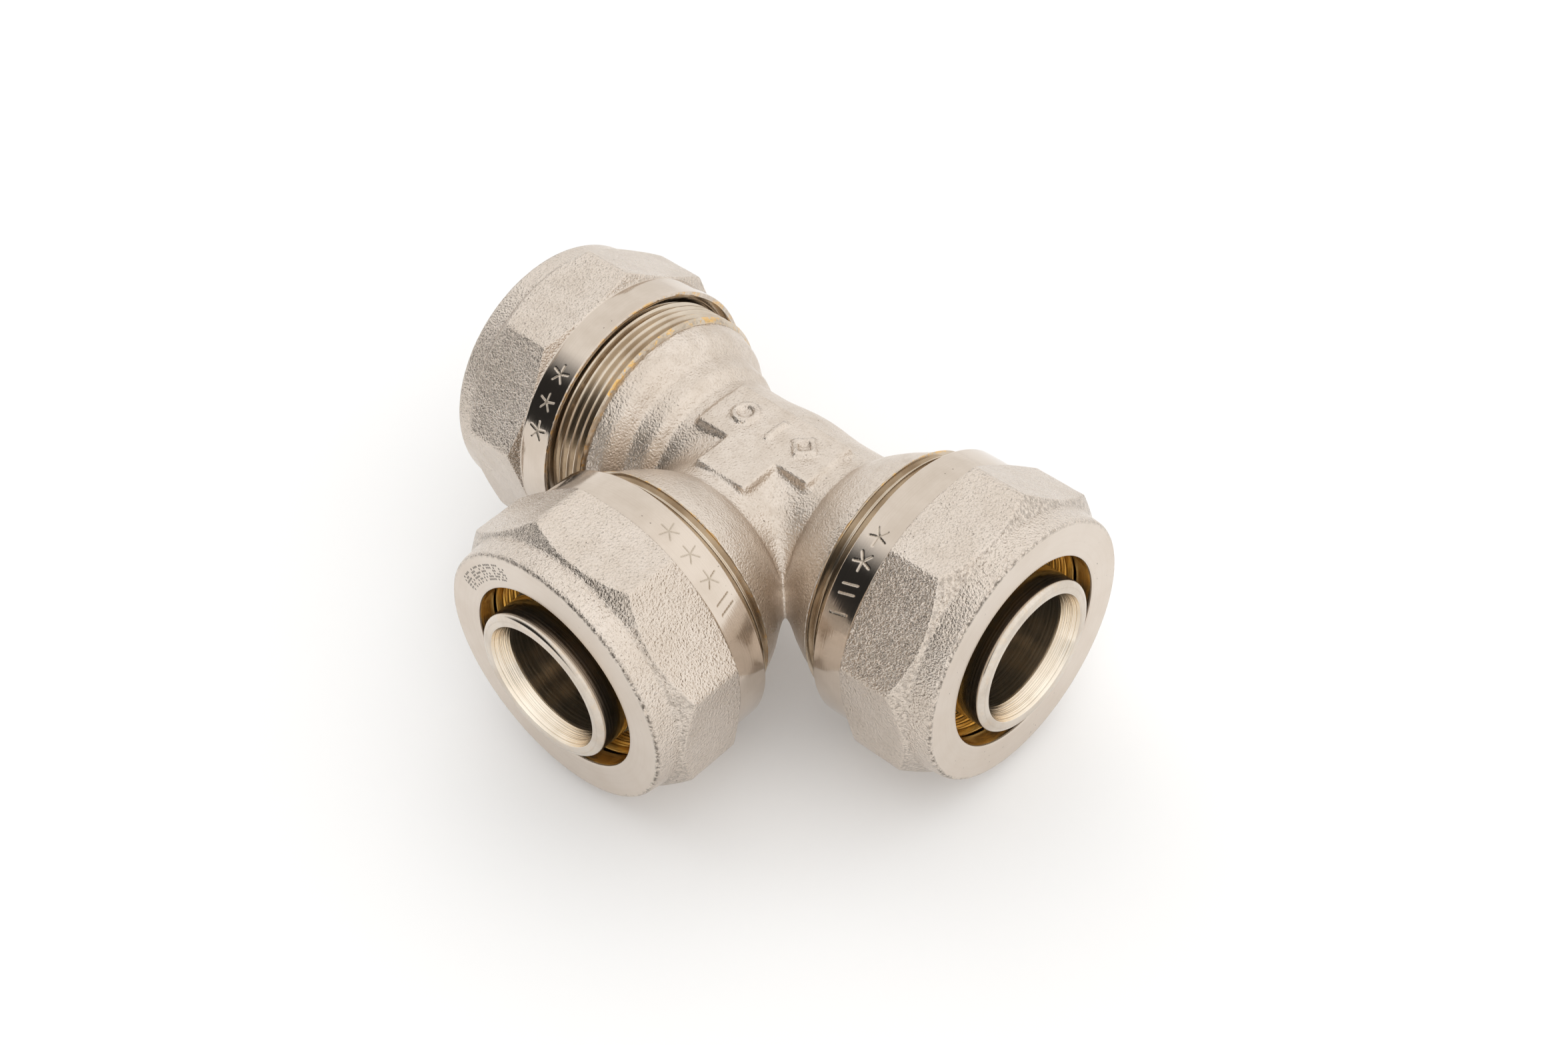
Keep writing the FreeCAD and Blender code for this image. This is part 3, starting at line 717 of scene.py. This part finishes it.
def forged_centre():
    h = 0.41
    lo = np.array([-25.3, -25.3, -21.6])
    hi = np.array([25.3, 21.6, 21.6])
    n_ = np.ceil((hi - lo) / h).astype(int) + 1
    gx, gy, gz = (lo[k] + h * np.arange(n_[k]) for k in range(3))
    X, Y, Z = np.meshgrid(gx, gy, gz, indexing="ij")
    f = body_field(X, Y, Z)
    v, q = surface_nets(f, lo, h)
    e = 0.02
    for _ in range(4):
        x, y, z = v.T
        f0 = body_field(x, y, z)
        g = np.stack([(body_field(x + e, y, z) - body_field(x - e, y, z)), (body_field(x, y + e, z) - body_field(x, y - e, z)),
                      (body_field(x, y, z + e) - body_field(x, y, z - e))], -1) / (2 * e)
        g2 = np.maximum((g * g).sum(-1), 0.2)
        step = (f0 / g2)[:, None] * g
        ln = np.linalg.norm(step, axis=1)
        step *= np.minimum(1.0, 0.2 / np.maximum(ln, 1e-9))[:, None]
        v = v - step
    x, y, z = v.T
    nrm = g / np.maximum(np.linalg.norm(g, axis=1), 1e-9)[:, None]
    r_run, r_br = np.hypot(y, z), np.sqrt(x * x + z * z + np.minimum(-y, 0) ** 2)
    inner = np.minimum(r_run, r_br) < 10.35
    lump = 0.035 * fbm(x, y, z, 2.6, 41, 3)
    v = v + nrm * (np.where(inner, 0.0, lump))[:, None]
    v[:, 1] += CENTRE_Y
    v[:, 2] += CENTRE_Z
    mi = inner[q].all(1).astype(int)
    masks = np.zeros((len(v), 3))
    ob = make_mesh("tee_forging", v, q, [MAT_FORGED, MAT_BORE], mi, masks, None, None, merge=False)
    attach(ob, "root")
    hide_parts("tee_body")
    return ob


forged_centre()
for side in ("left", "right", "branch"):
    port(side)
    nut(side)


# ---------------------------------------------------------------- O-rings
def oring(side, seat, at):
    ph = np.radians(np.linspace(0, 360, 181))
    t = np.radians(np.linspace(0, 360, 33)[:-1])
    U = np.repeat((at + np.cos(t))[:, None], len(ph), 1)
    R = np.repeat((12.2 + np.sin(t))[:, None], len(ph), 1)
    # moulding flash line, hardly raised, around the outside
    R = R + 0.03 * np.exp(-((t - math.pi / 2) / 0.12) ** 2)[:, None]
    R = np.minimum(R, 13.2)
    ob = lathe("seal_%s_%s" % (seat, side), U[::-1], R[::-1], ph, [0] * len(t), [MAT_RUBBER], None, side, None)
    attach(ob, "root")
    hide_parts("o_ring_%s_%s" % (seat, side))


# ---------------------------------------------------------------- split compression rings and washers
SLIT = {"left": 200.0, "right": 150.0, "branch": -140.0}


def cap_ends(ob):
    bm = bmesh.new()
    bm.from_mesh(ob.data)
    bmesh.ops.triangle_fill(bm, use_beauty=True, use_dissolve=False, edges=[e for e in bm.edges if e.is_boundary])
    bmesh.ops.recalc_face_normals(bm, faces=bm.faces)
    bm.to_mesh(ob.data)
    bm.free()
    ob.data.polygons.foreach_set("use_smooth", np.ones(len(ob.data.polygons), dtype=bool))
    ob.data.set_sharp_from_angle(angle=math.radians(32.0))


def clamp_ring(side):
    front = FACE[side] - 3.8
    rear = front - 9.5
    prof = [(front, 16.42), (front, 16.68), (front - 0.07, 16.80)]
    prof += [(front - 2.55 + 0.12, 19.17), (front - 2.55 - 0.08, 19.28), (front - 2.85, 19.30)]
    prof += [(u, 19.30) for u in np.linspace(front - 3.4, rear + 3.4, 4)]
    prof += [(rear + 2.85, 19.30), (rear + 2.63, 19.28), (rear + 2.43, 19.17), (rear + 0.07, 16.80), (rear, 16.68), (rear, 16.42), (rear + 0.08, 16.35)]
    for k in range(8):
        at = rear + 0.35 + 1.15 * k
        prof += [(at - 0.03, 16.14), (at + 0.03, 16.10), (at + 0.17, 16.10), (at + 0.24, 16.13)]
        if k < 7:
            prof += [(at + 0.38, 16.46), (at + 0.48, 16.49), (at + 0.80, 16.33)]
    prof += [(front - 0.10, 16.36)]
    half = 2.23
    ph = np.radians(np.linspace(SLIT[side] + half, SLIT[side] + 360 - half, 241))
    P = np.array(prof)
    U, R = np.repeat(P[:, :1], len(ph), 1), np.repeat(P[:, 1:], len(ph), 1)
    ob = lathe("clamp_ring_" + side, U, R, ph, [0] * len(P), [MAT_BRASS], None, side, None)
    cap_ends(ob)
    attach(ob, "ring_" + side)
    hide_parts("split_ring_" + side)


def washer(side):
    prof = []
    for (u, r), (du, dr) in zip(((31.0, 13.05), (31.0, 16.4), (32.5, 16.4), (32.5, 13.05)), ((1, 1), (1, -1), (-1, -1), (-1, 1))):
        c = (u + 0.12 * du, r + 0.12 * dr)
        start = {(1, 1): 270, (1, -1): 180, (-1, -1): 90, (-1, 1): 0}[(du, dr)]
        for a in (0, 30, 60, 90):
            t = math.radians(start - a)
            prof.append((c[0] + 0.12 * math.cos(t), c[1] + 0.12 * math.sin(t)))
    ph = np.radians(np.linspace(0, 360, 145))
    P = np.array(prof)
    U, R = np.repeat(P[:, :1], len(ph), 1), np.repeat(P[:, 1:], len(ph), 1)
    ob = lathe("washer_piece_" + side, U, R, ph, [0] * len(P), [MAT_PTFE], None, side, 40.0)
    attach(ob, "root")
    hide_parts("insulating_washer_" + side)


for side in ("left", "right", "branch"):
    oring(side, "outer", 45.3)
    oring(side, "inner", 40.8)
    clamp_ring(side)
    washer(side)

# ---------------------------------------------------------------- floor, world, lights, camera
fl = 6.0
me = bpy.data.meshes.new("floor")
me.from_pydata([(-fl, -fl, 0), (fl, -fl, 0), (fl, fl, 0), (-fl, fl, 0)], [], [(0, 1, 2, 3)])
floor = bpy.data.objects.new("floor", me)
bpy.context.scene.collection.objects.link(floor)
m, nt, b = material("floor_pale")
n = N(nt)
tc = n.node("ShaderNodeTexCoord").outputs["Object"]
n.put(b.inputs["Base Color"], n.mix(n.noise(tc, 3.0, 2.0, 0.5), (0.90, 0.90, 0.90, 1), (0.93, 0.93, 0.93, 1)))
b.inputs["Roughness"].default_value = 0.9
b.inputs["Specular IOR Level"].default_value = 0.1
b.inputs["Emission Color"].default_value = (1.0, 1.0, 1.0, 1.0)
b.inputs["Emission Strength"].default_value = 0.06
me.materials.append(m)
floor.location = (0, 0, -0.00002)

scene = bpy.context.scene
scene.view_settings.view_transform = "Standard"
scene.view_settings.look = "None"
scene.view_settings.exposure = 0.0
world = bpy.data.worlds.new("studio")
scene.world = world
world.use_nodes = True
wt = world.node_tree
wt.nodes.clear()
w = N(wt)
wo = w.node("ShaderNodeOutputWorld")
bg = w.node("ShaderNodeBackground")
w.link(bg.outputs[0], wo.inputs[0])
direction = w.node("ShaderNodeTexCoord").outputs["Generated"]


def lobe(vec):
    d = w.node("ShaderNodeVectorMath", operation="DOT_PRODUCT")
    w.link(direction, d.inputs[0])
    k = math.sqrt(sum(c * c for c in vec))
    d.inputs[1].default_value = tuple(c / k for c in vec)
    return d.outputs["Value"]


dark = w.remap(lobe((-0.5, -0.82, 0.20)), 0.66, 0.92)
glow = w.remap(lobe((0.62, 0.20, 0.70)), 0.30, 0.95)
level = w.mixf(glow, 1.06, 1.22)
level = w.mixf(dark, level, 0.03)
w.put(bg.inputs["Strength"], level)
bg.inputs["Color"].default_value = (1.0, 0.99, 0.975, 1.0)


def area(name, loc, target, size, power, color=(1, 1, 1)):
    li = bpy.data.lights.new(name, "AREA")
    li.shape = "RECTANGLE"
    li.size, li.size_y = size
    li.energy = power
    li.color = color
    ob = bpy.data.objects.new(name, li)
    scene.collection.objects.link(ob)
    ob.location = loc
    d = Vector(target) - Vector(loc)
    ob.rotation_euler = d.to_track_quat("-Z", "Y").to_euler()
    ob.visible_glossy = False
    return ob


area("key_softbox", (-0.35, 0.30, 0.62), (0, 0, 0.02), (0.6, 0.6), 0.5)
area("side_softbox", (0.45, -0.55, 0.40), (0, 0, 0.0), (0.6, 0.5), 0.6)

cam = bpy.data.cameras.new("camera")
cam.sensor_width = 36.0
cam.lens = 3432.86 / 2352.0 * 36.0
cam.clip_start = 0.01
cam_ob = bpy.data.objects.new("camera", cam)
scene.collection.objects.link(cam_ob)
right = Vector((0.733675, 0.677993, -0.045246))
down = Vector((0.456230, -0.540855, -0.706633))
fwd = Vector((-0.503563, 0.497796, -0.706132))
mat = Matrix((right, -down, -fwd)).transposed().to_4x4()
mat.translation = Vector((187.29355, -184.26877 + CENTRE_Y, 256.89048 + CENTRE_Z)) / 1000
cam_ob.matrix_world = mat
scene.camera = cam_ob

bpy.context.view_layer.update()
